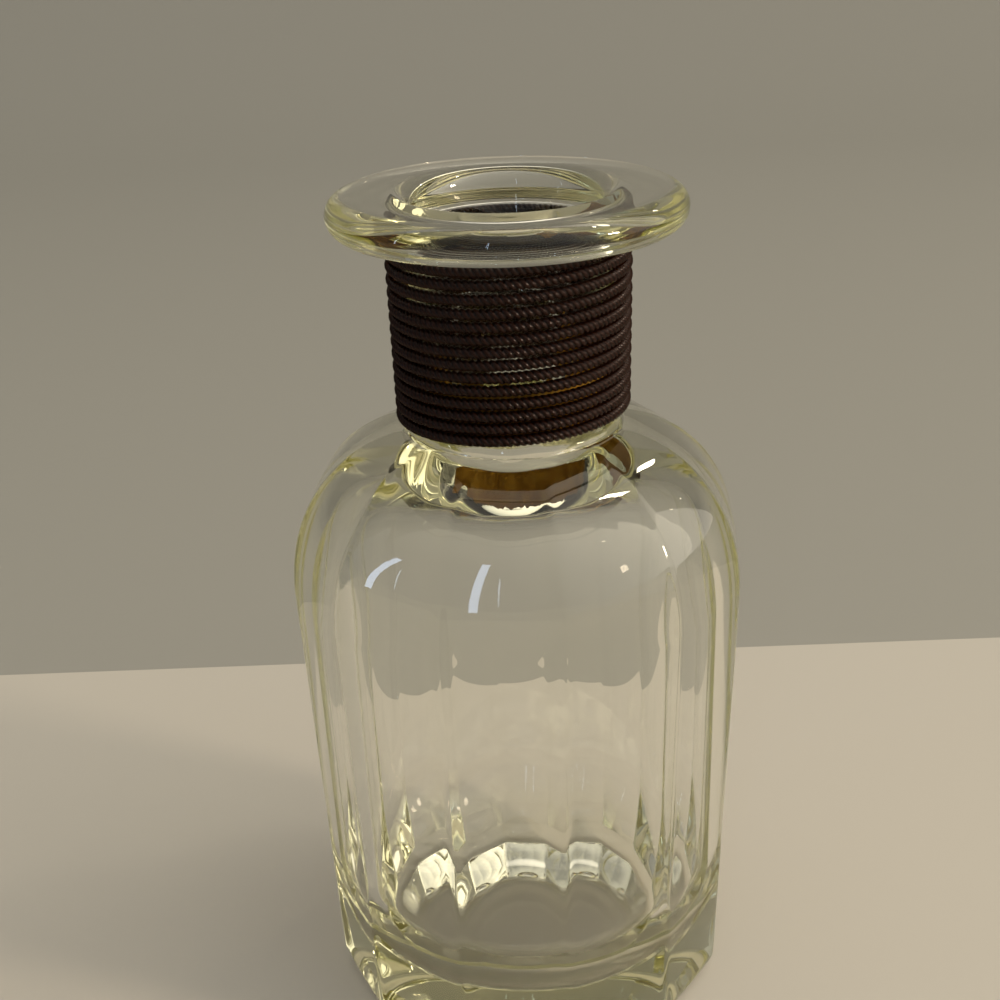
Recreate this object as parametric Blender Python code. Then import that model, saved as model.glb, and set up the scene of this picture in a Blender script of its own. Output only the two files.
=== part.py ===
"""Ribbed glass bottle with a corded neck.

The bottle is one moulded glass piece: twelve flat panels meet in soft upright ribs,
which run over a round shoulder to a plain neck under a wide, flat lip.
One waxed cord is wound round the neck, from the shoulder up to the lip.
Sizes are in metres, +Z is up, and the origin is the middle of the foot.
The front of the bottle looks along -Y.
"""
import math

import bmesh
import bpy
from mathutils import Vector

# Glass body: heights are stacked from the foot upwards
BODY_HEIGHT = 0.0692
SHOULDER_RISE = 0.0229
NECK_LENGTH = 0.0304
LIP_THICKNESS = 0.0054

# Glass body: outside radii, at the ribs where it has them
FOOT_RADIUS = 0.0316
BODY_RADIUS = 0.0345
NECK_ROOT_RADIUS = 0.0155
NECK_TOP_RADIUS = 0.0160
LIP_RADIUS = 0.0257

# Glass body: ribs and panels
PANEL_COUNT = 12
PANEL_TURN = math.radians(-5.3)
RIB_HALF_WIDTH = 0.0014
RIB_ROUNDING = 0.0003

# Glass body: inside, a straight round wall between a rounded bowl and a square-shouldered ceiling
WALL_AT_FOOT = 0.0013
FLOOR_THICKNESS = 0.0058
BOWL_WIDTH = 0.0200
BOWL_RISE = 0.0180
CEILING_DEPTH = 0.0063
CEILING_START_DEPTH = 0.0059
CEILING_SQUARENESS = 3.2
THROAT_WIDTH = 0.0011
THROAT_RISE = 0.0066
BORE_ROOT_RADIUS = 0.0116
BORE_TOP_RADIUS = 0.0136

# Glass body: outside roundings and the hollow under the foot
HEEL_ROUNDING = 0.0036
NECK_ROOT_WIDTH = 0.0024
NECK_ROOT_RISE = 0.0036
LIP_UNDER_ROUNDING = 0.0006
MOUTH_ROUNDING = 0.0026
STANDING_RING_WIDTH = 0.0045
FOOT_HOLLOW_DEPTH = 0.0014

# Neck cord
CORD_DIAMETER = 0.0013
CORD_TURN_GAP = 0.00047
CORD_SEAT_GAP = 0.0003
CORD_SIDES_LEVEL = 1
POINTS_PER_TURN = 24
CLIMB_FRONT_SHARE = 0.9

# Counts of facets along the roundings, and points across a panel as shares of its half width
FINE_STEPS = 4
UNDER_LIP_STEPS = 2
RIM_STEPS = 8
BOWL_STEPS = 8
SHOULDER_STEPS = 12
PANEL_POINT_SHARES = (-1.0, -0.46, 0.0, 0.46, 1.0)
HOLLOW_RING_SHARES = (0.5, 0.85)

# The squareness of a plain oval
ROUND = 2.0

# Worked out from the sizes above
SHOULDER_TOP = BODY_HEIGHT + SHOULDER_RISE
LIP_UNDERSIDE = SHOULDER_TOP + NECK_LENGTH
LIP_TOP = LIP_UNDERSIDE + LIP_THICKNESS
HALF_PANEL = math.pi / PANEL_COUNT
PANEL_DROP_SHARE = math.cos(HALF_PANEL)


def arc(centre_radius, centre_height, width, rise, start, end, steps, squareness=ROUND):
    """Points of a curved stretch of the profile, by angle in degrees from the outward direction.

    The stretch belongs to an oval of that half width and half rise. Above ROUND, the
    squareness pushes the oval out towards its corners.
    """
    points = []
    for step in range(steps + 1):
        angle = math.radians(start + (end - start) * step / steps)
        outward, upward = math.cos(angle), math.sin(angle)
        points.append((centre_radius + width * math.copysign(abs(outward) ** (ROUND / squareness), outward),
                       centre_height + rise * math.copysign(abs(upward) ** (ROUND / squareness), upward)))
    return points


def outside_profile():
    """(radius, height, rib strength) from the middle of the foot, out, up and over the lip."""
    ring_radius = FOOT_RADIUS - HEEL_ROUNDING
    hollow_radius = ring_radius - STANDING_RING_WIDTH
    rings = [(hollow_radius * share, FOOT_HOLLOW_DEPTH * (1 - share ** 2), 0.0)
             for share in HOLLOW_RING_SHARES]
    rings.append((hollow_radius, 0.0, 0.0))
    heel = arc(ring_radius, HEEL_ROUNDING, HEEL_ROUNDING, HEEL_ROUNDING, -90, 0, FINE_STEPS)
    rings += [(radius, height, 1.0) for radius, height in heel]

    shoulder_end = NECK_ROOT_RADIUS + NECK_ROOT_WIDTH
    shoulder = arc(shoulder_end, BODY_HEIGHT, BODY_RADIUS - shoulder_end, SHOULDER_RISE, 0, 90, SHOULDER_STEPS)
    rings += [(radius, height, 1.0) for radius, height in shoulder]

    root = arc(shoulder_end, SHOULDER_TOP + NECK_ROOT_RISE, NECK_ROOT_WIDTH, NECK_ROOT_RISE, 270, 180, FINE_STEPS)
    for step, (radius, height) in enumerate(root[1:], 1):
        rings.append((radius, height, 1 - step / FINE_STEPS))
    under = arc(NECK_TOP_RADIUS + LIP_UNDER_ROUNDING, LIP_UNDERSIDE - LIP_UNDER_ROUNDING,
                LIP_UNDER_ROUNDING, LIP_UNDER_ROUNDING, 180, 90, UNDER_LIP_STEPS)
    rings += [(radius, height, 0.0) for radius, height in under]

    half = LIP_THICKNESS / 2
    rim = arc(LIP_RADIUS - half, LIP_UNDERSIDE + half, half, half, -90, 90, RIM_STEPS)
    rings += [(radius, height, 0.0) for radius, height in rim]
    return rings


def inside_profile():
    """(radius, height, rib strength) from the mouth down to the floor, round all the way."""
    mouth_edge = BORE_TOP_RADIUS + MOUTH_ROUNDING
    rings = arc(mouth_edge, LIP_TOP - MOUTH_ROUNDING, MOUTH_ROUNDING, MOUTH_ROUNDING, 90, 180, FINE_STEPS)

    ceiling = SHOULDER_TOP - CEILING_DEPTH
    throat_edge = BORE_ROOT_RADIUS + THROAT_WIDTH
    rings += arc(throat_edge, ceiling + THROAT_RISE, THROAT_WIDTH, THROAT_RISE, 180, 270, FINE_STEPS)[:-1]

    inner_radius = min(FOOT_RADIUS, BODY_RADIUS) * PANEL_DROP_SHARE - WALL_AT_FOOT
    ceiling_start = BODY_HEIGHT - CEILING_START_DEPTH
    rings += arc(throat_edge, ceiling_start, inner_radius - throat_edge, ceiling - ceiling_start,
                 90, 0, SHOULDER_STEPS, CEILING_SQUARENESS)
    rings += arc(inner_radius - BOWL_WIDTH, FLOOR_THICKNESS + BOWL_RISE, BOWL_WIDTH, BOWL_RISE, 0, -90, BOWL_STEPS)
    return [(radius, height, 0.0) for radius, height in rings]


def panel_angles():
    """Angles round the bottle, as (angle, angle from the panel's middle, on the rib's crest)."""
    panel_edge = HALF_PANEL - RIB_HALF_WIDTH / BODY_RADIUS
    angles = []
    for panel in range(PANEL_COUNT):
        middle = PANEL_TURN - 0.5 * math.pi + panel * 2 * HALF_PANEL
        angles.append((middle - HALF_PANEL, -HALF_PANEL, True))
        for share in PANEL_POINT_SHARES:
            angles.append((middle + share * panel_edge, share * panel_edge, False))
    return angles


def glass_ring(mesh, radius, height, rib_strength):
    """One closed loop of points: a circle, or a polygon with softened corners where there are ribs."""
    loop = []
    for angle, from_middle, on_crest in panel_angles():
        flat = radius * PANEL_DROP_SHARE / math.cos(from_middle)
        if on_crest:
            flat -= RIB_ROUNDING
        reach = radius + rib_strength * (flat - radius)
        loop.append(mesh.verts.new((reach * math.cos(angle), reach * math.sin(angle), height)))
    return loop


def skin(mesh, loops):
    """Quads between each loop and the next."""
    for low, high in zip(loops, loops[1:]):
        for index, vertex in enumerate(low):
            after = (index + 1) % len(low)
            mesh.faces.new((vertex, low[after], high[after], high[index]))


def close(mesh, loop, height):
    """A fan from a loop to a point on the axis."""
    middle = mesh.verts.new((0, 0, height))
    for index, vertex in enumerate(loop):
        mesh.faces.new((middle, loop[(index + 1) % len(loop)], vertex))


def finish_object(name, mesh, material):
    """A named object from a mesh under construction, with faces out and round parts smooth."""
    bmesh.ops.recalc_face_normals(mesh, faces=mesh.faces)
    data = bpy.data.meshes.new(name)
    mesh.to_mesh(data)
    mesh.free()
    data.shade_smooth()
    data.set_sharp_from_angle(angle=math.radians(35))
    data.materials.append(material)
    piece = bpy.data.objects.new(name, data)
    bpy.context.scene.collection.objects.link(piece)
    return piece


def make_material(name, colour, roughness, transmission=0.0):
    material = bpy.data.materials.new(name)
    material.use_nodes = True
    shader = material.node_tree.nodes["Principled BSDF"]
    shader.inputs["Base Color"].default_value = (*colour, 1)
    shader.inputs["Roughness"].default_value = roughness
    shader.inputs["Metallic"].default_value = 0
    shader.inputs["Transmission Weight"].default_value = transmission
    return material


def make_bottle():
    """The glass: one skin from the middle of the foot, over the lip and down to the floor."""
    mesh = bmesh.new()
    loops = [glass_ring(mesh, *ring) for ring in outside_profile() + inside_profile()]
    skin(mesh, loops)
    close(mesh, loops[0], FOOT_HOLLOW_DEPTH)
    close(mesh, loops[-1], FLOOR_THICKNESS)
    return finish_object("glass_bottle", mesh, make_material("clear_glass", (0.93, 0.95, 0.88), 0.03, 1.0))


def neck_radius(height):
    """The neck's outside radius, which widens a little towards the lip."""
    share = (height - SHOULDER_TOP) / NECK_LENGTH
    return NECK_ROOT_RADIUS + (NECK_TOP_RADIUS - NECK_ROOT_RADIUS) * share


def cord_route():
    """Points on the cord's middle line.

    The turns lie side by side on the neck, close up under the lip, as many as the neck
    takes. Each climbs by its pitch, mostly as it crosses the front, and the cord starts
    and ends at the back.
    """
    pitch = CORD_DIAMETER + CORD_TURN_GAP
    lowest = SHOULDER_TOP + NECK_ROOT_RISE + CORD_DIAMETER / 2
    end = LIP_UNDERSIDE - LIP_UNDER_ROUNDING - CORD_DIAMETER / 2
    turns = int((end - lowest) / pitch)
    start = end - turns * pitch
    points = []
    for step in range(turns * POINTS_PER_TURN + 1):
        part = step / POINTS_PER_TURN
        climb = part - CLIMB_FRONT_SHARE * math.sin(2 * math.pi * part) / (2 * math.pi)
        height = start + pitch * climb
        radius = neck_radius(height) + CORD_SEAT_GAP + CORD_DIAMETER / 2
        angle = 0.5 * math.pi + 2 * math.pi * part
        points.append(Vector((radius * math.cos(angle), radius * math.sin(angle), height)))
    return points


def with_straight_ends(points):
    """The route with each end run on straight for one cord diameter."""
    first = (points[0] - points[1]).normalized() * CORD_DIAMETER
    last = (points[-1] - points[-2]).normalized() * CORD_DIAMETER
    return [points[0] + first] + points + [points[-1] + last]


def least_gap(points):
    """The least clear distance between one turn and the next, measured on the route's points."""
    nearest = min((point - other).length
                  for index, point in enumerate(points)
                  for other in points[index + POINTS_PER_TURN // 2:])
    return nearest - CORD_DIAMETER


def make_cord():
    """The neck cord: one unbroken tube along its route."""
    route = with_straight_ends(cord_route())
    print("least gap between the cord's turns, mm:", round(1000 * least_gap(route), 3))
    curve = bpy.data.curves.new("neck_cord", "CURVE")
    curve.dimensions = "3D"
    curve.bevel_depth = CORD_DIAMETER / 2
    curve.bevel_resolution = CORD_SIDES_LEVEL
    curve.use_fill_caps = True
    spline = curve.splines.new("POLY")
    spline.points.add(len(route) - 1)
    for target, point in zip(spline.points, route):
        target.co = (*point, 1)
    curve.materials.append(make_material("waxed_cord", (0.035, 0.02, 0.014), 0.45))
    piece = bpy.data.objects.new("neck_cord", curve)
    bpy.context.scene.collection.objects.link(piece)
    return piece


for old in list(bpy.data.objects):
    bpy.data.objects.remove(old, do_unlink=True)
make_bottle()
make_cord()
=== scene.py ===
"""The ribbed glass bottle with its corded neck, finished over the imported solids."""
import math

import bpy
from mathutils import Matrix, Vector, noise


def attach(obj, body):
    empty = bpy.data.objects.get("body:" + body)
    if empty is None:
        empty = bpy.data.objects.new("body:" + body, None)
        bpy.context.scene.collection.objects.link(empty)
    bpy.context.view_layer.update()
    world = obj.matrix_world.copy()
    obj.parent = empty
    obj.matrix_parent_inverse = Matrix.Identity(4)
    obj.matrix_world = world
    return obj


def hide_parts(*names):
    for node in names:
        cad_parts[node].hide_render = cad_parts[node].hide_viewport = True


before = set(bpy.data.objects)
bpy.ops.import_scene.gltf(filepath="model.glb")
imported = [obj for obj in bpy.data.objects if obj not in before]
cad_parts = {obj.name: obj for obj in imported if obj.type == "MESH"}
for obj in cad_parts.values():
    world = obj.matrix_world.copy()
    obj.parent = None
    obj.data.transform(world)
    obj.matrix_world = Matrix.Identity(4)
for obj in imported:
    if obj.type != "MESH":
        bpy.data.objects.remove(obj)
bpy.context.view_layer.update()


# The bottle: one piece of clear, slightly yellow-green pressed glass. Twelve nearly flat
# panels meet in soft ribs that run up the body and over the shoulder, and die out at the
# plain neck. The lip is a wide flat ring with a round rim, and the floor is thick.
BODY_HEIGHT = 0.0692
SHOULDER_RISE = 0.0247
NECK_LENGTH = 0.0286
LIP_THICKNESS = 0.0054
FOOT_RADIUS = 0.0316
BODY_RADIUS = 0.0345
NECK_ROOT_RADIUS = 0.0155
NECK_TOP_RADIUS = 0.0160
LIP_RADIUS = 0.0257
PANEL_COUNT = 12
PANEL_TURN = math.radians(-5.3)
RIB_SOFTNESS = 0.0018
PANEL_CROWN = 0.15
SHOULDER_CENTRE = 0.0111
SHOULDER_SQUARENESS = 2.2
INSIDE_RADIUS = 0.0292
FLOOR_THICKNESS = 0.0058
BORE_ROOT_RADIUS = 0.0092
BORE_TOP_RADIUS = 0.0136
HEEL_ROUNDING = 0.0036
CEILING_DEPTH = 0.0078
CEILING_START_DEPTH = 0.0045
CEILING_SQUARENESS = 3.3
BOWL_WIDTH = 0.0200
BOWL_RISE = 0.0180
BOWL_SQUARENESS = 2.0
NECK_ROOT_WIDTH = 0.0015
NECK_ROOT_RISE = 0.0015
THROAT_WIDTH = 0.0007
THROAT_RISE = 0.0099
LIP_UNDER_ROUNDING = 0.0006
MOUTH_ROUNDING = 0.0026
STANDING_RING_WIDTH = 0.0045
FOOT_HOLLOW_DEPTH = 0.0014

SHOULDER_TOP = BODY_HEIGHT + SHOULDER_RISE
LIP_UNDERSIDE = SHOULDER_TOP + NECK_LENGTH
LIP_TOP = LIP_UNDERSIDE + LIP_THICKNESS

STEPS_ROUND = 360
HOLLOW_STEPS = 8
HEEL_STEPS = 10
BODY_STEPS = 14
SHOULDER_STEPS = 36
NECK_ROOT_STEPS = 16
NECK_STEPS = 5
UNDER_LIP_STEPS = 4
LIP_FLAT_STEPS = 4
RIM_STEPS = 24
MOUTH_STEPS = 10
BORE_STEPS = 8
THROAT_STEPS = 12
CEILING_STEPS = 40
WALL_STEPS = 30
BOWL_STEPS = 30
FLOOR_STEPS = 10
SEAM_DISTANCE = 1e-6

GLASS_REFRACTION = 1.51
GLASS_DEPTH_COLOUR = (0.80, 0.79, 0.36, 1)
GLASS_DEPTH_DENSITY = 16.0
RIPPLE_SCALE = 60.0
RIPPLE_STRETCH = (1.0, 1.0, 0.35)
RIPPLE_HEIGHT = 0.0001
RIPPLE_STRENGTH = 0.3
HAZE_SCALE = 240.0
HAZE_SHARE = 0.05


class Wire:
    """A value on its way between nodes, so that sums with it are written as sums."""

    def __init__(self, board, socket):
        self.board = board
        self.socket = socket

    def math(self, operation, *others):
        values = dict(enumerate((self, *others)))
        return self.board.add("ShaderNodeMath", {"operation": operation}, values)

    def reversed_math(self, operation, other):
        return self.board.add("ShaderNodeMath", {"operation": operation}, {0: other, 1: self})

    def __add__(self, other):
        return self.math("ADD", other)

    def __sub__(self, other):
        return self.math("SUBTRACT", other)

    def __rsub__(self, other):
        return self.reversed_math("SUBTRACT", other)

    def __mul__(self, other):
        return self.math("MULTIPLY", other)

    def __truediv__(self, other):
        return self.math("DIVIDE", other)

    def __rtruediv__(self, other):
        return self.reversed_math("DIVIDE", other)

    __radd__ = __add__
    __rmul__ = __mul__


class Board:
    """A node tree that is being wired up."""

    def __init__(self, tree):
        self.tree = tree

    def add(self, kind, settings=None, sockets=None, out=0):
        """Puts in one node, settings before sockets, and gives back one of its outputs."""
        node = self.tree.nodes.new(kind)
        for name, value in (settings or {}).items():
            if name == "stops":
                ramp = node.color_ramp.elements
                while len(ramp) < len(value):
                    ramp.new(0.5)
                for element, (place, colour) in zip(ramp, value):
                    element.position = place
                    element.color = (*colour, 1)
            else:
                setattr(node, name, value)
        self.feed(node, sockets or {})
        return Wire(self, node.outputs[out])

    def feed(self, node, sockets):
        """Links a node's sockets to wires, and sets the others to plain values."""
        for key, value in sockets.items():
            if isinstance(value, Wire):
                self.tree.links.new(value.socket, node.inputs[key])
            else:
                node.inputs[key].default_value = value


def geometry_board(name, inputs):
    """A Geometry Nodes tree with the named inputs, and a wire from each of them."""
    tree = bpy.data.node_groups.new(name, "GeometryNodeTree")
    tree.interface.new_socket(name="Geometry", in_out="INPUT", socket_type="NodeSocketGeometry")
    tree.interface.new_socket(name="Geometry", in_out="OUTPUT", socket_type="NodeSocketGeometry")
    for label, kind in inputs.items():
        tree.interface.new_socket(name=label, in_out="INPUT", socket_type=kind)
    board = Board(tree)
    source = tree.nodes.new("NodeGroupInput")
    wires = {socket.name: Wire(board, socket) for socket in source.outputs if socket.name}
    return board, wires


def finish_tree(board, geometry, material):
    """Ends a tree in Realize Instances and Set Material."""
    real = board.add("GeometryNodeRealizeInstances", None, {"Geometry": geometry})
    dressed = board.add("GeometryNodeSetMaterial", None, {"Geometry": real, "Material": material})
    board.feed(board.tree.nodes.new("NodeGroupOutput"), {0: dressed})


def placed(name, data):
    """A new object of the scene that shows the given data."""
    thing = bpy.data.objects.new(name, data)
    bpy.context.scene.collection.objects.link(thing)
    return thing


def string_mesh(name, points):
    """A mesh of points that are each joined to the next."""
    mesh = bpy.data.meshes.new(name)
    mesh.from_pydata(points, [(place, place + 1) for place in range(len(points) - 1)], [])
    return mesh


def grow(name, seed_mesh, board, values):
    """The plain mesh object that a tree makes of its seed mesh."""
    seed = placed(name, seed_mesh)
    modifier = seed.modifiers.new(name, "NODES")
    modifier.node_group = board.tree
    for item in board.tree.interface.items_tree:
        if item.in_out == "INPUT" and item.name in values:
            modifier[item.identifier] = values[item.name]
    bpy.context.view_layer.update()
    evaluated = seed.evaluated_get(bpy.context.evaluated_depsgraph_get())
    grown = bpy.data.meshes.new_from_object(evaluated)
    seed.modifiers.remove(modifier)
    seed.data = grown
    grown.name = name
    bpy.data.meshes.remove(seed_mesh)
    return seed


def arc(centre_radius, centre_height, width, rise, start, end, steps, squareness=2.0):
    """Points of a round or oval stretch of an outline, by angle in degrees from outward."""
    points = []
    for step in range(steps + 1):
        angle = math.radians(start + (end - start) * step / steps)
        outward, upward = math.cos(angle), math.sin(angle)
        across = math.copysign(abs(outward) ** (2 / squareness), outward)
        along = math.copysign(abs(upward) ** (2 / squareness), upward)
        points.append((centre_radius + width * across, centre_height + rise * along))
    return points


def straight(start, end, steps):
    """Points between two ends of a straight stretch, without the ends."""
    return [tuple(a + (b - a) * step / steps for a, b in zip(start, end))
            for step in range(1, steps)]


def joined(stretches, steps_between):
    """One run of points from several stretches, with straight steps between them."""
    points = list(stretches[0])
    for stretch, steps in zip(stretches[1:], steps_between):
        points += straight(points[-1], stretch[0], steps) + list(stretch)
    return points


def glass_outline():
    """(radius, height, rib strength) from the middle of the foot, over the lip, to the floor."""
    ring_radius = FOOT_RADIUS - HEEL_ROUNDING
    hollow_radius = ring_radius - STANDING_RING_WIDTH
    hollow = [(hollow_radius * step / HOLLOW_STEPS,
               FOOT_HOLLOW_DEPTH * (1 - (step / HOLLOW_STEPS) ** 2))
              for step in range(HOLLOW_STEPS + 1)]

    heel = arc(ring_radius, HEEL_ROUNDING, HEEL_ROUNDING, HEEL_ROUNDING, -90, 0, HEEL_STEPS)
    shoulder_end = NECK_ROOT_RADIUS + NECK_ROOT_WIDTH
    shoulder_width = BODY_RADIUS - SHOULDER_CENTRE
    end_share = (shoulder_end - SHOULDER_CENTRE) / shoulder_width
    end_angle = math.degrees(math.acos(end_share ** (SHOULDER_SQUARENESS / 2)))
    shoulder = arc(SHOULDER_CENTRE, BODY_HEIGHT, shoulder_width, SHOULDER_RISE,
                   0, end_angle, SHOULDER_STEPS, SHOULDER_SQUARENESS)
    ribbed = joined([heel, shoulder], [BODY_STEPS])
    root = arc(shoulder_end, shoulder[-1][1] + NECK_ROOT_RISE, NECK_ROOT_WIDTH, NECK_ROOT_RISE,
               270, 180, NECK_ROOT_STEPS)[1:]
    fading = [1 - (place + 1) / len(root) for place in range(len(root))]

    under = arc(NECK_TOP_RADIUS + LIP_UNDER_ROUNDING, LIP_UNDERSIDE - LIP_UNDER_ROUNDING,
                LIP_UNDER_ROUNDING, LIP_UNDER_ROUNDING, 180, 90, UNDER_LIP_STEPS)
    half = LIP_THICKNESS / 2
    rim = arc(LIP_RADIUS - half, LIP_UNDERSIDE + half, half, half, -90, 90, RIM_STEPS)
    mouth = arc(BORE_TOP_RADIUS + MOUTH_ROUNDING, LIP_TOP - MOUTH_ROUNDING,
                MOUTH_ROUNDING, MOUTH_ROUNDING, 90, 180, MOUTH_STEPS)
    throat_edge = BORE_ROOT_RADIUS + THROAT_WIDTH
    ceiling = SHOULDER_TOP - CEILING_DEPTH
    throat = arc(throat_edge, ceiling + THROAT_RISE, THROAT_WIDTH, THROAT_RISE,
                 180, 270, THROAT_STEPS)
    plain = joined([root[-1:], under, rim, mouth, throat[:-1]],
                   [NECK_STEPS, LIP_FLAT_STEPS, LIP_FLAT_STEPS, BORE_STEPS])[1:]

    ceiling_start = BODY_HEIGHT - CEILING_START_DEPTH
    under_shoulder = arc(throat_edge, ceiling_start, INSIDE_RADIUS - throat_edge,
                         ceiling - ceiling_start, 90, 0, CEILING_STEPS, CEILING_SQUARENESS)
    bowl = arc(INSIDE_RADIUS - BOWL_WIDTH, FLOOR_THICKNESS + BOWL_RISE, BOWL_WIDTH, BOWL_RISE,
               0, -90, BOWL_STEPS, BOWL_SQUARENESS)
    inside = joined([under_shoulder, bowl, [(0.0, FLOOR_THICKNESS)]], [WALL_STEPS, FLOOR_STEPS])

    outline = [(radius, height, 0.0) for radius, height in hollow]
    outline += [(radius, height, 1.0) for radius, height in ribbed]
    outline += [(radius, height, strength) for (radius, height), strength in zip(root, fading)]
    outline += [(radius, height, 0.0) for radius, height in plain + inside]
    return outline


def outline_mesh(outline):
    """A string of points at (radius, 0, height) that carries each point's rib strength."""
    mesh = string_mesh("glass_outline", [(radius, 0.0, height) for radius, height, _ in outline])
    ribs = mesh.attributes.new("rib", "FLOAT", "POINT")
    ribs.data.foreach_set("value", [strength for _, _, strength in outline])
    return mesh


def moulded_glass_tree():
    """Turns an outline into a closed skin, round or panelled as its rib strength says."""
    board, wires = geometry_board("moulded_glass", {
        "Panels": "NodeSocketInt",
        "Panel Turn": "NodeSocketFloat",
        "Rib Softness": "NodeSocketFloat",
        "Panel Crown": "NodeSocketFloat",
        "Steps Round": "NodeSocketInt",
        "Glass": "NodeSocketMaterial",
    })
    outline = wires["Geometry"]
    rows = board.add("GeometryNodeAttributeDomainSize", {"component": "MESH"},
                     {"Geometry": outline}, "Point Count")
    columns = wires["Steps Round"] + 1
    grid = board.add("GeometryNodeMeshGrid", None, {"Vertices X": rows, "Vertices Y": columns})
    place = board.add("GeometryNodeInputIndex")
    row = (place / columns).math("FLOOR")
    column = place - row * columns

    position = board.add("GeometryNodeInputPosition")
    point = board.add("GeometryNodeSampleIndex", {"data_type": "FLOAT_VECTOR"},
                      {"Geometry": outline, "Value": position, "Index": row})
    strength = board.add("GeometryNodeInputNamedAttribute", {"data_type": "FLOAT"}, {"Name": "rib"})
    rib = board.add("GeometryNodeSampleIndex", {"data_type": "FLOAT"},
                    {"Geometry": outline, "Value": strength, "Index": row})
    radius = board.add("ShaderNodeSeparateXYZ", None, {0: point}, "X")
    height = board.add("ShaderNodeSeparateXYZ", None, {0: point}, "Z")

    half_panel = math.pi / wires["Panels"]
    from_start = column * (2 * math.pi) / wires["Steps Round"]
    from_middle = from_start.math("WRAP", half_panel, half_panel * -1).math("ABSOLUTE")
    from_rib = half_panel - from_middle
    flat_reach = radius * half_panel.math("COSINE")
    flat = flat_reach / from_middle.math("COSINE")
    centre = (flat_reach - wires["Rib Softness"]) / half_panel.math("COSINE")
    sideways = centre * from_rib.math("SINE")
    depth_squared = wires["Rib Softness"] * wires["Rib Softness"] - sideways * sideways
    depth = depth_squared.math("MAXIMUM", 0).math("SQRT")
    rounded = centre * from_rib.math("COSINE") + depth
    turning = (centre * half_panel.math("SINE")).math("ARCTAN2", flat_reach)
    on_rib = from_middle.math("GREATER_THAN", turning)
    shape = flat + on_rib * (rounded - flat)
    crowned = shape + wires["Panel Crown"] * (radius - shape)
    reach = radius + rib * (crowned - radius)

    angle = from_start + wires["Panel Turn"] - math.pi / 2
    spot = board.add("ShaderNodeCombineXYZ", None,
                     {0: reach * angle.math("COSINE"), 1: reach * angle.math("SINE"), 2: height})
    skin = board.add("GeometryNodeSetPosition", None, {"Geometry": grid, "Position": spot})
    outward = board.add("GeometryNodeFlipFaces", None, {"Mesh": skin})
    closed = board.add("GeometryNodeMergeByDistance", None,
                       {"Geometry": outward, "Distance": SEAM_DISTANCE})
    smooth = board.add("GeometryNodeSetShadeSmooth", None,
                       {"Geometry": closed, "Shade Smooth": True})
    finish_tree(board, smooth, wires["Glass"])
    return board


def new_material(name):
    """A new material, with its board and its Principled shader."""
    material = bpy.data.materials.new(name)
    material.use_nodes = True
    return material, Board(material.node_tree), material.node_tree.nodes["Principled BSDF"]


def clear_glass():
    """Clear glass that is faintly wavy and hazy, and whose thick edges turn yellow-green."""
    material, board, shader = new_material("clear_glass")
    where = board.add("ShaderNodeTexCoord", None, None, "Object")
    drawn = board.add("ShaderNodeVectorMath", {"operation": "MULTIPLY"},
                      {0: where, 1: RIPPLE_STRETCH})
    waves = board.add("ShaderNodeTexNoise", None,
                      {"Vector": drawn, "Scale": RIPPLE_SCALE, "Detail": 1.0}, "Fac")
    wiped = board.add("ShaderNodeTexNoise", None,
                      {"Vector": where, "Scale": HAZE_SCALE, "Detail": 3.0}, "Fac")
    haze = (wiped - 0.5).math("MAXIMUM", 0) * HAZE_SHARE
    ripple = board.add("ShaderNodeBump", None, {
        "Strength": RIPPLE_STRENGTH,
        "Distance": RIPPLE_HEIGHT,
        "Height": waves,
    }, "Normal")
    board.feed(shader, {
        "Base Color": (1.0, 1.0, 1.0, 1),
        "IOR": GLASS_REFRACTION,
        "Transmission Weight": 1.0,
        "Roughness": haze,
        "Normal": ripple,
    })
    depth = board.add("ShaderNodeVolumeAbsorption", None,
                      {"Color": GLASS_DEPTH_COLOUR, "Density": GLASS_DEPTH_DENSITY})
    board.feed(material.node_tree.nodes["Material Output"], {"Volume": depth})
    return material


glass = grow("moulded_bottle", outline_mesh(glass_outline()), moulded_glass_tree(), {
    "Panels": PANEL_COUNT,
    "Panel Turn": PANEL_TURN,
    "Rib Softness": RIB_SOFTNESS,
    "Panel Crown": PANEL_CROWN,
    "Steps Round": STEPS_ROUND,
    "Glass": clear_glass(),
})
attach(glass, "root")
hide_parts("glass_bottle")


# The neck cord: dark brown waxed cord of three twisted strands, wound round the neck from
# the shoulder up to the lip. Its turns lie side by side, some a little apart, and climb as
# they cross the front. It is glued on, and its two ends lie at the back and the left.
CORD_DIAMETER = 0.00176
CORD_SEAT_GAP = 0.00004
CORD_START = 0.09535
TURN_RISES = (0.00178, 0.00180, 0.00178, 0.00188, 0.00200, 0.00178, 0.00179, 0.00184,
              0.00178, 0.00178, 0.00194, 0.00204, 0.00194, 0.00180, 0.00180)
CORD_TURNS = 14.2
CLIMB_FRONT_SHARE = 0.9
STRAND_COUNT = 3
STRAND_SHARE = 0.62
LAY_LENGTH = 0.0028
STEPS_PER_LAY = 10
STEPS_PER_STRAND = 6

GROOVE_LOBE = 0.72
CREST_LOBE = 0.93
FIBRE_SCALE = 5200.0
FIBRE_RELIEF = 0.00006
WEAR_SCALE = 420.0


def neck_radius(height):
    """The neck's outside radius, which widens a little towards the lip."""
    share = (height - SHOULDER_TOP) / NECK_LENGTH
    return NECK_ROOT_RADIUS + (NECK_TOP_RADIUS - NECK_ROOT_RADIUS) * share


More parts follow.
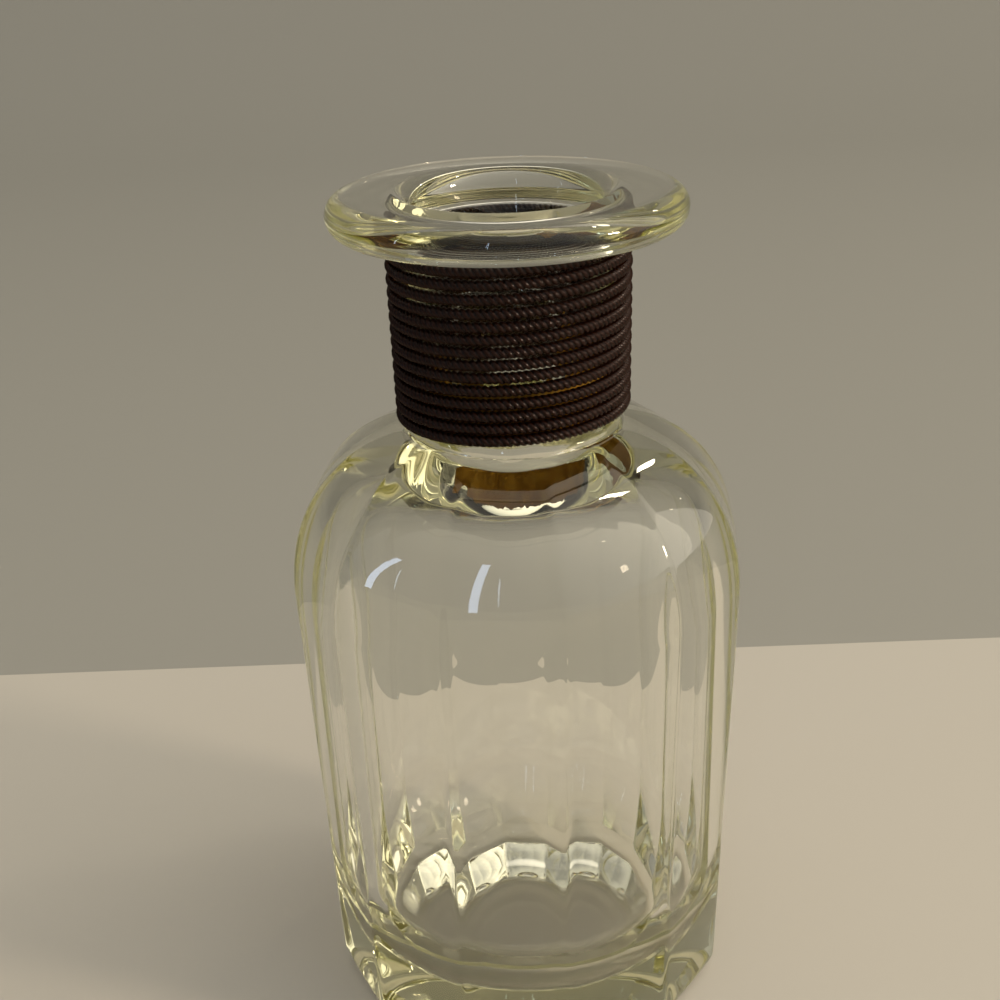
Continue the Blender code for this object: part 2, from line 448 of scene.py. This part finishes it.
def cord_route():
    """Points along the middle of the cord, from its low end to its high one."""
    turn_length = 2 * math.pi * (NECK_TOP_RADIUS + CORD_DIAMETER / 2)
    steps_per_turn = round(turn_length / LAY_LENGTH * STEPS_PER_LAY)
    points = []
    for step in range(round(CORD_TURNS * steps_per_turn) + 1):
        turn, part = divmod(step / steps_per_turn, 1)
        turn = int(turn)
        climb = part - CLIMB_FRONT_SHARE * math.sin(2 * math.pi * part) / (2 * math.pi)
        height = CORD_START + sum(TURN_RISES[:turn]) + climb * TURN_RISES[turn]
        radius = neck_radius(height) + CORD_SEAT_GAP + CORD_DIAMETER / 2
        angle = math.pi / 2 + 2 * math.pi * part
        points.append((radius * math.cos(angle), radius * math.sin(angle), height))
    return points


def twisted_cord_tree():
    """Sweeps a lobed outline along a route while it turns, which lays up the strands."""
    board, wires = geometry_board("twisted_cord", {
        "Strands": "NodeSocketInt",
        "Strand Share": "NodeSocketFloat",
        "Cord Radius": "NodeSocketFloat",
        "Lay Length": "NodeSocketFloat",
        "Steps Per Strand": "NodeSocketInt",
        "Wax": "NodeSocketMaterial",
    })
    route = board.add("GeometryNodeMeshToCurve", None, {"Mesh": wires["Geometry"]})
    upright = board.add("GeometryNodeSetCurveNormal", {"mode": "Z_UP"}, {"Curve": route})
    along = board.add("GeometryNodeSplineParameter", None, None, "Length")
    twist = along * (2 * math.pi) / wires["Lay Length"]
    turned = board.add("GeometryNodeSetCurveTilt", None, {"Curve": upright, "Tilt": twist})

    steps = wires["Steps Per Strand"] * wires["Strands"]
    ring = board.add("GeometryNodeCurvePrimitiveCircle", None, {"Resolution": steps, "Radius": 1.0})
    around = board.add("GeometryNodeInputIndex") * (2 * math.pi) / steps
    half_strand = math.pi / wires["Strands"]
    from_strand = around.math("WRAP", half_strand, half_strand * -1)
    share = wires["Strand Share"]
    centre = 1 - share
    sideways = centre * from_strand.math("SINE")
    lobe = centre * from_strand.math("COSINE") + (share * share - sideways * sideways).math("SQRT")
    reach = lobe * wires["Cord Radius"]
    spot = board.add("ShaderNodeCombineXYZ", None,
                     {0: reach * around.math("COSINE"), 1: reach * around.math("SINE")})
    lobed = board.add("GeometryNodeSetPosition", None, {"Geometry": ring, "Position": spot})
    marked = board.add("GeometryNodeStoreNamedAttribute", {"data_type": "FLOAT", "domain": "POINT"},
                       {"Geometry": lobed, "Name": "lobe", "Value": lobe})

    swept = board.add("GeometryNodeCurveToMesh", None,
                      {"Curve": turned, "Profile Curve": marked, "Fill Caps": True})
    smooth = board.add("GeometryNodeSetShadeSmooth", None,
                       {"Geometry": swept, "Shade Smooth": True})
    finish_tree(board, smooth, wires["Wax"])
    return board


def waxed_cord():
    """Dark brown cotton under wax: fibres along each strand, with painted shade that darkens the
    grooves between the strands.
    """
    material, board, shader = new_material("waxed_cord")
    where = board.add("ShaderNodeTexCoord", None, None, "Object")
    lobe = board.add("ShaderNodeAttribute", {"attribute_name": "lobe"}, None, "Fac")
    fibres = board.add("ShaderNodeTexNoise", None,
                       {"Vector": where, "Scale": FIBRE_SCALE, "Detail": 3.0}, "Fac")
    wear = board.add("ShaderNodeTexNoise", None,
                     {"Vector": where, "Scale": WEAR_SCALE, "Detail": 3.0}, "Fac")
    # Painted shade: this mask runs from the grooves between strands to the crests, and darkens the
    # colour into the grooves. It also makes the grooves rougher.
    groove_shade_and_gloss = board.add("ShaderNodeMapRange", None,
                      {"Value": lobe, "From Min": GROOVE_LOBE, "From Max": CREST_LOBE})
    # The groove mask adds painted shade; the fibres and the wear add the cord's own uneven tone.
    tone = groove_shade_and_gloss * 0.6 + fibres * 0.3 + wear * 0.25
    colour = board.add("ShaderNodeValToRGB", {"stops": [
        (0.15, (0.0006, 0.0005, 0.0005)),
        (0.60, (0.0022, 0.0009, 0.0005)),
        (1.0, (0.0190, 0.0050, 0.0012)),
    ]}, {"Fac": tone})
    gloss = 0.44 - groove_shade_and_gloss * 0.14 + (wear - 0.5) * 0.3
    relief = board.add("ShaderNodeBump", None,
                       {"Strength": 0.5, "Distance": FIBRE_RELIEF, "Height": fibres}, "Normal")
    board.feed(shader, {
        "Base Color": colour,
        "Roughness": gloss,
        "Normal": relief,
        "Specular IOR Level": 0.08,
        "Specular Tint": (1.0, 0.42, 0.22, 1),
        "Coat Weight": 0.3,
        "Coat Roughness": 0.17,
        "Coat Tint": (1.0, 0.48, 0.22, 1),
    })
    return material


cord = grow("wound_cord", string_mesh("cord_route", cord_route()), twisted_cord_tree(), {
    "Strands": STRAND_COUNT,
    "Strand Share": STRAND_SHARE,
    "Cord Radius": CORD_DIAMETER / 2,
    "Lay Length": LAY_LENGTH,
    "Steps Per Strand": STEPS_PER_STRAND,
    "Wax": waxed_cord(),
})
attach(cord, "root")
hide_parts("neck_cord")


# The glue: a thin amber smear that wets the neck under the cord's lowest turns, round the
# front and both sides, and holds them. Where it wets the glass it shows through the clear
# shoulder, and its edges run unevenly.
GLUE_LOW_END = 0.0957
GLUE_HIGH_END = 0.1043
GLUE_RAGGEDNESS = 0.0007
GLUE_DEPTH = 0.00004
GLUE_THICKNESS = 0.00004
GLUE_MIDDLE = math.radians(-60.0)
GLUE_HALF_SPREAD = math.radians(108.0)
GLUE_ROWS = 24
GLUE_COLUMNS = 160
WAVE_SCALE = 7
WAVE_SLICE = 0.3
NICK_SCALE = 23
NICK_SLICE = 4.1
NICK_SHARE = 0.6

CLOUD_SCALE = 260.0
SPECK_SCALE = 2600.0
SPECK_LIMIT = 0.62


def raggedness(angle):
    """How far the glue's edge strays at an angle round the neck: long waves with small nicks."""
    around, aside = math.cos(angle), math.sin(angle)
    waves = noise.noise((WAVE_SCALE * around, WAVE_SCALE * aside, WAVE_SLICE))
    nicks = noise.noise((NICK_SCALE * around, NICK_SCALE * aside, NICK_SLICE))
    return GLUE_RAGGEDNESS * (waves + NICK_SHARE * nicks)


def glue_smear():
    """A closed thin plate bent round part of the neck, with ragged edges."""
    points = []
    for offset in (GLUE_THICKNESS, -GLUE_DEPTH):
        for row in range(GLUE_ROWS + 1):
            for column in range(GLUE_COLUMNS + 1):
                angle = GLUE_MIDDLE + GLUE_HALF_SPREAD * (2 * column / GLUE_COLUMNS - 1)
                low = GLUE_LOW_END + raggedness(angle)
                high = GLUE_HIGH_END - 2 * raggedness(angle)
                height = low + (high - low) * row / GLUE_ROWS
                reach = neck_radius(height) + offset
                points.append((reach * math.cos(angle), reach * math.sin(angle), height))
    across = GLUE_COLUMNS + 1
    sheet_size = (GLUE_ROWS + 1) * across
    faces = []
    for row in range(GLUE_ROWS):
        for column in range(GLUE_COLUMNS):
            corner = row * across + column
            quad = (corner, corner + 1, corner + across + 1, corner + across)
            faces += [quad, tuple(sheet_size + place for place in reversed(quad))]
    low_edge = list(range(across))
    high_edge = [GLUE_ROWS * across + column for column in reversed(range(across))]
    end_edge = [row * across + GLUE_COLUMNS for row in range(1, GLUE_ROWS)]
    start_edge = [row * across for row in reversed(range(1, GLUE_ROWS))]
    rim = low_edge + end_edge + high_edge + start_edge
    for place, following in zip(rim, rim[1:] + rim[:1]):
        faces.append((place, sheet_size + place, sheet_size + following, following))
    mesh = bpy.data.meshes.new("cord_glue")
    mesh.from_pydata(points, [], faces)
    mesh.shade_smooth()
    return mesh


def brown_glue():
    """Amber glue with pale specks."""
    material, board, shader = new_material("brown_glue")
    where = board.add("ShaderNodeTexCoord", None, None, "Object")
    clouds = board.add("ShaderNodeTexNoise", None,
                       {"Vector": where, "Scale": CLOUD_SCALE, "Detail": 4.0}, "Fac")
    specks = board.add("ShaderNodeTexNoise", None,
                       {"Vector": where, "Scale": SPECK_SCALE, "Detail": 2.0}, "Fac")
    tone = clouds + (specks - SPECK_LIMIT).math("MAXIMUM", 0) * 3
    colour = board.add("ShaderNodeValToRGB", {"stops": [
        (0.30, (0.300, 0.135, 0.018)),
        (0.62, (0.640, 0.340, 0.050)),
        (0.90, (0.950, 0.760, 0.360)),
    ]}, {"Fac": tone})
    board.feed(shader, {"Base Color": colour, "Roughness": 0.5, "Specular IOR Level": 0.0})
    return material


glue = placed("cord_glue", glue_smear())
glue.data.materials.append(brown_glue())
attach(glue, "root")


# The setting: a pale warm sheet that ends a little behind the bottle, on a plain grey
# ground that sweeps up far behind it. Both lie a hair below the foot.
SHEET_EDGE = 0.0995
SHEET_DROP = 0.0003
STAGE_HALF_WIDTH = 3.0
STAGE_FRONT = -3.0
SWEEP_START = 0.7
SWEEP_RADIUS = 0.5
SWEEP_STEPS = 10
STAGE_HEIGHT = 2.5


def stage_sheet(name, path, colour):
    """A wide sheet of plain dull paper that follows a path of (y, z) points."""
    points = [(side * STAGE_HALF_WIDTH, y, z - SHEET_DROP) for y, z in path for side in (-1, 1)]
    faces = [(2 * place, 2 * place + 1, 2 * place + 3, 2 * place + 2)
             for place in range(len(path) - 1)]
    mesh = bpy.data.meshes.new(name)
    mesh.from_pydata(points, [], faces)
    mesh.shade_smooth()
    material, board, shader = new_material(name)
    board.feed(shader, {"Base Color": (*colour, 1), "Roughness": 0.9, "Specular IOR Level": 0.2})
    mesh.materials.append(material)
    placed(name, mesh)


sweep = []
for step in range(SWEEP_STEPS + 1):
    angle = math.radians(90 * step / SWEEP_STEPS)
    back, up = SWEEP_RADIUS * math.sin(angle), SWEEP_RADIUS * (1 - math.cos(angle))
    sweep.append((SWEEP_START + back, up))
far_wall = [(SWEEP_START + SWEEP_RADIUS, STAGE_HEIGHT)]
stage_sheet("pale_floor", [(STAGE_FRONT, 0.0), (SHEET_EDGE, 0.0)], (0.58, 0.55, 0.485))
stage_sheet("grey_ground", [(SHEET_EDGE, 0.0)] + sweep + far_wall, (0.35, 0.345, 0.31))


# The light: a soft warm glow from the right above, which fades to a dim room on the left,
# two small bulbs high up, a warm lamp at the right, and two narrow cool windows whose light
# draws streaks on the glass.
LIGHT_AIM = (0, 0, 0.08)
BULB_SIZE = (0.05, 0.05)
LAMP_SIZE = (0.16, 0.16)
WINDOW_COLOUR = (0.62, 0.76, 1.0)
GLOW_SIDE = (0.72, 0.36, 0.59)
GLOW_STRENGTH = 2.2
MOST_BOUNCES = 40
GLASS_BOUNCES = 32


def soft_light(name, place, size, colour, power):
    """A soft rectangle of light that faces the bottle."""
    data = bpy.data.lights.new(name, "AREA")
    data.shape = "RECTANGLE"
    data.size, data.size_y = size
    data.color = colour
    data.energy = power
    light = placed(name, data)
    away = Vector(place) - Vector(LIGHT_AIM)
    light.rotation_euler = away.to_track_quat("Z", "Y").to_euler()
    light.location = place


soft_light("high_bulb", (0.60, 0.03, 1.12), BULB_SIZE, (1.0, 0.90, 0.72), 0.60)
soft_light("back_bulb", (0.70, 0.70, 0.80), BULB_SIZE, (1.0, 0.88, 0.68), 0.45)
soft_light("side_lamp", (1.1, -0.45, 0.50), LAMP_SIZE, (1.0, 0.82, 0.62), 6.0)
soft_light("side_window", (-1.14, -0.37, 0.32), (0.02, 0.45), WINDOW_COLOUR, 0.26)
soft_light("front_window", (-0.26, -1.12, 0.48), (0.02, 0.70), WINDOW_COLOUR, 0.38)

world = bpy.data.worlds.new("room")
world.use_nodes = True
room = Board(world.node_tree)
toward = room.add("ShaderNodeTexCoord", None, None, "Generated")
facing = room.add("ShaderNodeVectorMath", {"operation": "DOT_PRODUCT"},
                  {0: toward, 1: GLOW_SIDE}, "Value")
glow = room.add("ShaderNodeValToRGB", {"stops": [
    (0.00, (0.060, 0.064, 0.075)),
    (0.45, (0.115, 0.115, 0.117)),
    (0.75, (0.400, 0.380, 0.345)),
    (1.00, (1.000, 0.910, 0.760)),
]}, {"Fac": facing * 0.5 + 0.5})
room.feed(world.node_tree.nodes["Background"], {"Color": glow, "Strength": GLOW_STRENGTH})
bpy.context.scene.world = world
bpy.context.scene.view_settings.view_transform = "Standard"

# Light that is trapped between the faces of the glass bounces many times before it leaves.
bpy.context.scene.cycles.max_bounces = MOST_BOUNCES
bpy.context.scene.cycles.glossy_bounces = GLASS_BOUNCES
bpy.context.scene.cycles.transmission_bounces = GLASS_BOUNCES


# The camera: close in front of the bottle and a little above its mouth. It looks down on
# the bottle, and is tipped a little to one side.
CAMERA_PLACE = (-0.00251, -0.2233, 0.1748)
CAMERA_PITCH = math.radians(22.90)
CAMERA_ROLL = 0.0378
CAMERA_LENS_MM = 57.6
CAMERA_SENSOR_MM = 36.0

camera_data = bpy.data.cameras.new("camera")
camera_data.sensor_width = CAMERA_SENSOR_MM
camera_data.lens = CAMERA_LENS_MM
camera_data.clip_start = 0.01
camera = placed("camera", camera_data)
camera.matrix_world = (Matrix.Translation(CAMERA_PLACE)
                       @ Matrix.Rotation(math.pi / 2 - CAMERA_PITCH, 4, "X")
                       @ Matrix.Rotation(-CAMERA_ROLL, 4, "Z"))
bpy.context.scene.camera = camera
